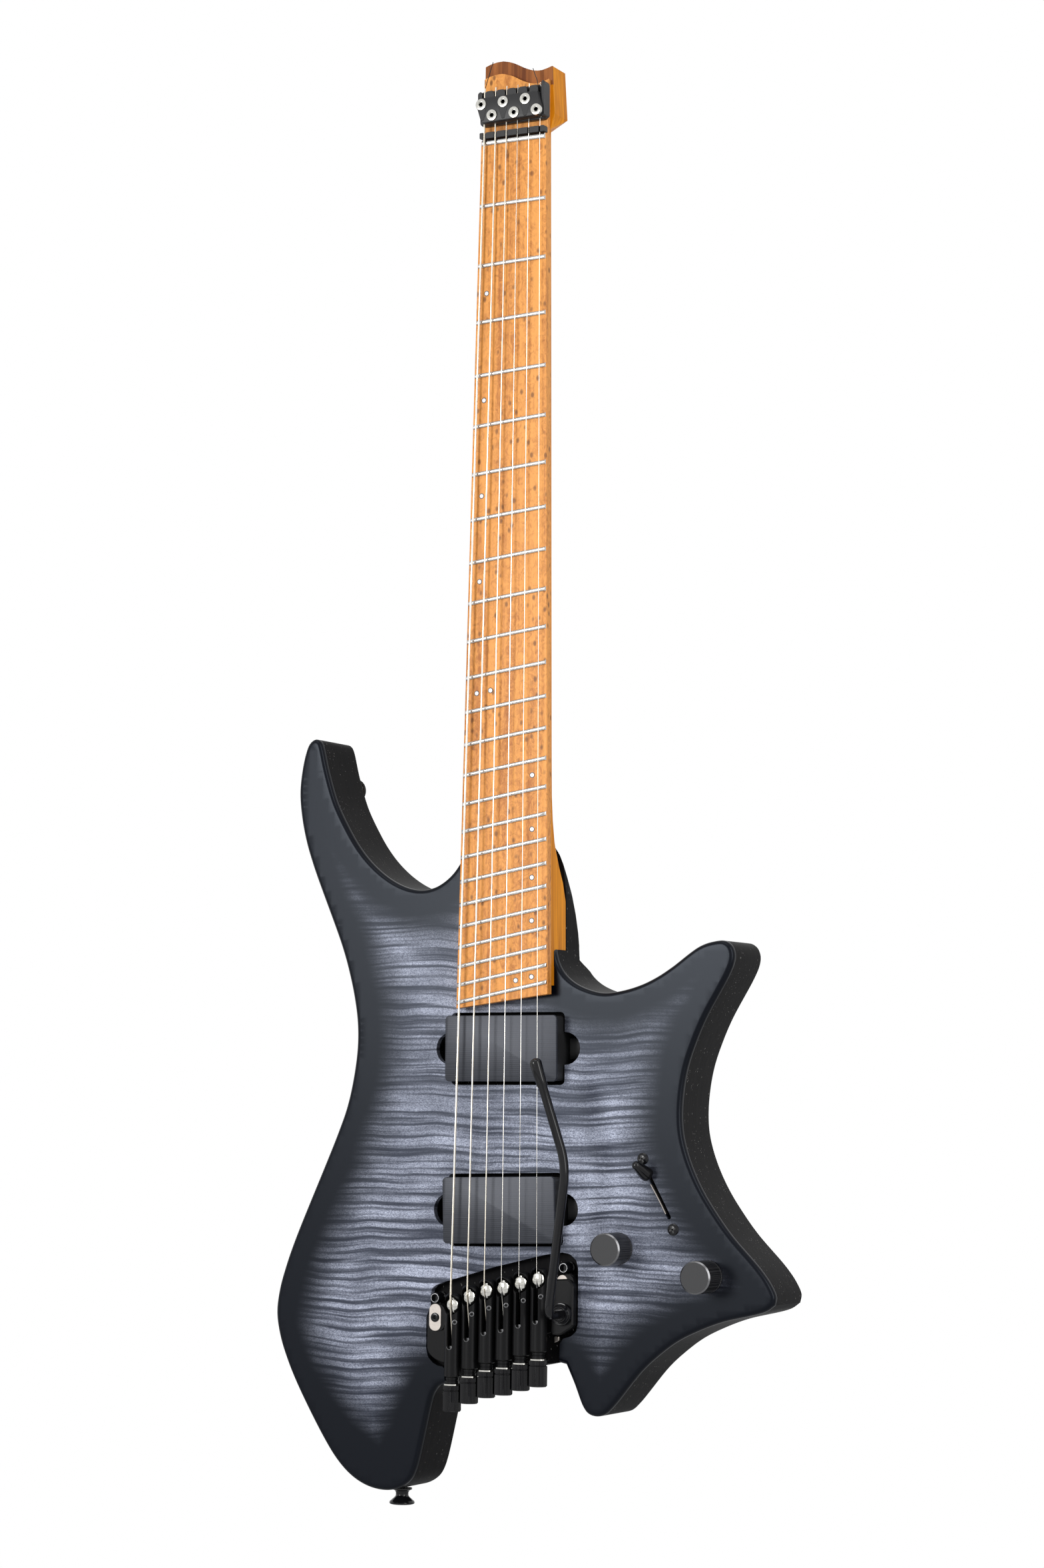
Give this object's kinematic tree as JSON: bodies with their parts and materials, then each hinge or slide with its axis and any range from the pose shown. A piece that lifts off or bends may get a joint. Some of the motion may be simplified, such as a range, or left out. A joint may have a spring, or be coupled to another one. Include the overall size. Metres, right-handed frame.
{
  "type": "headless electric guitar",
  "caption": "Headless electric guitar with fanned frets, a figured dark top, two covered pickups and a floating tremolo whose tuners sit in the body's tail notch",
  "frame": {"origin": "on the neck's centre line at the zero fret, in the glue plane between neck and fretboard", "axes": "+Z along the neck towards the head, -Y out of the front, +X to the treble side; the guitar hangs upright by its head"},
  "size_m": [0.3059, 0.087, 0.8155],
  "materials": {
    "open_pore_black": "matt black stain over open-pored wood, pores dusted pale",
    "burst_figured_wood": "figured veneer stained charcoal blue, black towards the edge",
    "roasted_maple": "oiled roasted maple",
    "birdseye_maple": "oiled roasted bird's-eye maple",
    "plain_steel": "plain zinc-plated steel",
    "string_steel": "plain and nickel-wound steel",
    "black_metal": "satin black anodised",
    "bright_metal": "polished stainless steel",
    "pickup_shell": "dark grey, brushed",
    "black_plastic": "satin black"
  },
  "bodies": {
    "guitar_body": {"body_core": "open_pore_black", "top_cap": "burst_figured_wood", "neck": "roasted_maple", "truss_rod": "plain_steel", "fretboard": "birdseye_maple", "string_guide": "black_metal", "string_lock": "black_metal", "string_1": "string_steel", "string_2": "string_steel", "string_3": "string_steel", "string_4": "string_steel", "string_5": "string_steel", "string_6": "string_steel", "neck_pickup": "pickup_shell", "bridge_pickup": "pickup_shell", "pivot_post_bass": "black_metal", "pivot_post_treble": "black_metal", "spring_claw": "plain_steel", "tremolo_spring_1": "plain_steel", "tremolo_spring_2": "plain_steel", "selector_switch": "plain_steel", "volume_pot": "plain_steel", "tone_pot": "plain_steel", "spring_cover": "black_plastic", "control_cover": "black_plastic", "strap_button_tail": "black_metal", "strap_button_horn": "black_metal", "output_jack": "black_metal"},
    "tremolo": {"tremolo_plate": "black_metal", "tremolo_block": "plain_steel", "arm_collar": "black_metal", "tuner_barrel_1": "black_metal", "tuner_barrel_2": "black_metal", "tuner_barrel_3": "black_metal", "tuner_barrel_4": "black_metal", "tuner_barrel_5": "black_metal", "tuner_barrel_6": "black_metal", "saddle_1": "bright_metal", "saddle_2": "bright_metal", "saddle_3": "bright_metal", "saddle_4": "bright_metal", "saddle_5": "bright_metal", "saddle_6": "bright_metal"},
    "arm": {"tremolo_arm": "black_metal"},
    "volume": {"volume_knob": "black_metal"},
    "tone": {"tone_knob": "black_metal"},
    "selector": {"selector_lever": "bright_metal"},
    "tuner_1": {"tuner_knob_1": "black_metal"},
    "carriage_1": {"string_carriage_1": "plain_steel"},
    "tuner_2": {"tuner_knob_2": "black_metal"},
    "carriage_2": {"string_carriage_2": "plain_steel"},
    "tuner_3": {"tuner_knob_3": "black_metal"},
    "carriage_3": {"string_carriage_3": "plain_steel"},
    "tuner_4": {"tuner_knob_4": "black_metal"},
    "carriage_4": {"string_carriage_4": "plain_steel"},
    "tuner_5": {"tuner_knob_5": "black_metal"},
    "carriage_5": {"string_carriage_5": "plain_steel"},
    "tuner_6": {"tuner_knob_6": "black_metal"},
    "carriage_6": {"string_carriage_6": "plain_steel"}
  },
  "joints": [
    {"name": "tremolo_tilt", "type": "hinge", "parent": "guitar_body", "child": "tremolo", "pos_m": [-0.04094, 0.002, -0.65391], "axis": [0.9714, 0, 0.2376], "range_deg": [-9, 2.5], "stiffness_Nm_per_rad": 8, "deforming": ["string_1", "string_2", "string_3", "string_4", "string_5", "string_6", "tremolo_spring_1", "tremolo_spring_2"]},
    {"name": "arm_swing", "type": "hinge", "parent": "tremolo", "child": "arm", "pos_m": [0.0381, -0.003, -0.6564], "axis": [0, -1, 0], "range_deg": [-110, 35]},
    {"name": "volume_turn", "type": "hinge", "parent": "guitar_body", "child": "volume", "pos_m": [0.069, 0, -0.6201], "axis": [0, -1, 0], "range_deg": [0, 300]},
    {"name": "tone_turn", "type": "hinge", "parent": "guitar_body", "child": "tone", "pos_m": [0.1221, 0, -0.6333], "axis": [0, -1, 0], "range_deg": [0, 300]},
    {"name": "selector_throw", "type": "hinge", "parent": "guitar_body", "child": "selector", "pos_m": [0.0932, 0.02, -0.592], "axis": [0.8763, 0, 0.4818], "range_deg": [0, 62]},
    {"name": "tuner_turn_1", "type": "hinge", "parent": "tremolo", "child": "tuner_1", "pos_m": [0.02625, -0.0068, -0.6876], "axis": [0, 0, 1], "range_deg": [-365, 365]},
    {"name": "carriage_slide_1", "type": "slide", "parent": "tremolo", "child": "carriage_1", "axis": [0, 0, 1], "range_m": [-0.0006, 0.0006]},
    {"name": "tuner_turn_2", "type": "hinge", "parent": "tremolo", "child": "tuner_2", "pos_m": [0.01575, -0.0068, -0.69014], "axis": [0, 0, 1], "range_deg": [-365, 365]},
    {"name": "carriage_slide_2", "type": "slide", "parent": "tremolo", "child": "carriage_2", "axis": [0, 0, 1], "range_m": [-0.0006, 0.0006]},
    {"name": "tuner_turn_3", "type": "hinge", "parent": "tremolo", "child": "tuner_3", "pos_m": [0.00525, -0.0068, -0.69308], "axis": [0, 0, 1], "range_deg": [-365, 365]},
    {"name": "carriage_slide_3", "type": "slide", "parent": "tremolo", "child": "carriage_3", "axis": [0, 0, 1], "range_m": [-0.0006, 0.0006]},
    {"name": "tuner_turn_4", "type": "hinge", "parent": "tremolo", "child": "tuner_4", "pos_m": [-0.00525, -0.0068, -0.69502], "axis": [0, 0, 1], "range_deg": [-365, 365]},
    {"name": "carriage_slide_4", "type": "slide", "parent": "tremolo", "child": "carriage_4", "axis": [0, 0, 1], "range_m": [-0.0006, 0.0006]},
    {"name": "tuner_turn_5", "type": "hinge", "parent": "tremolo", "child": "tuner_5", "pos_m": [-0.01575, -0.0068, -0.69876], "axis": [0, 0, 1], "range_deg": [-365, 365]},
    {"name": "carriage_slide_5", "type": "slide", "parent": "tremolo", "child": "carriage_5", "axis": [0, 0, 1], "range_m": [-0.0006, 0.0006]},
    {"name": "tuner_turn_6", "type": "hinge", "parent": "tremolo", "child": "tuner_6", "pos_m": [-0.02625, -0.0068, -0.7036], "axis": [0, 0, 1], "range_deg": [-365, 365]},
    {"name": "carriage_slide_6", "type": "slide", "parent": "tremolo", "child": "carriage_6", "axis": [0, 0, 1], "range_m": [-0.0006, 0.0006]}
  ],
  "couplings": [
    {"joint": "tuner_turn_1", "follows": "carriage_slide_1", "rad_per_m": 10472},
    {"joint": "tuner_turn_2", "follows": "carriage_slide_2", "rad_per_m": 10472},
    {"joint": "tuner_turn_3", "follows": "carriage_slide_3", "rad_per_m": 10472},
    {"joint": "tuner_turn_4", "follows": "carriage_slide_4", "rad_per_m": 10472},
    {"joint": "tuner_turn_5", "follows": "carriage_slide_5", "rad_per_m": 10472},
    {"joint": "tuner_turn_6", "follows": "carriage_slide_6", "rad_per_m": 10472}
  ]
}
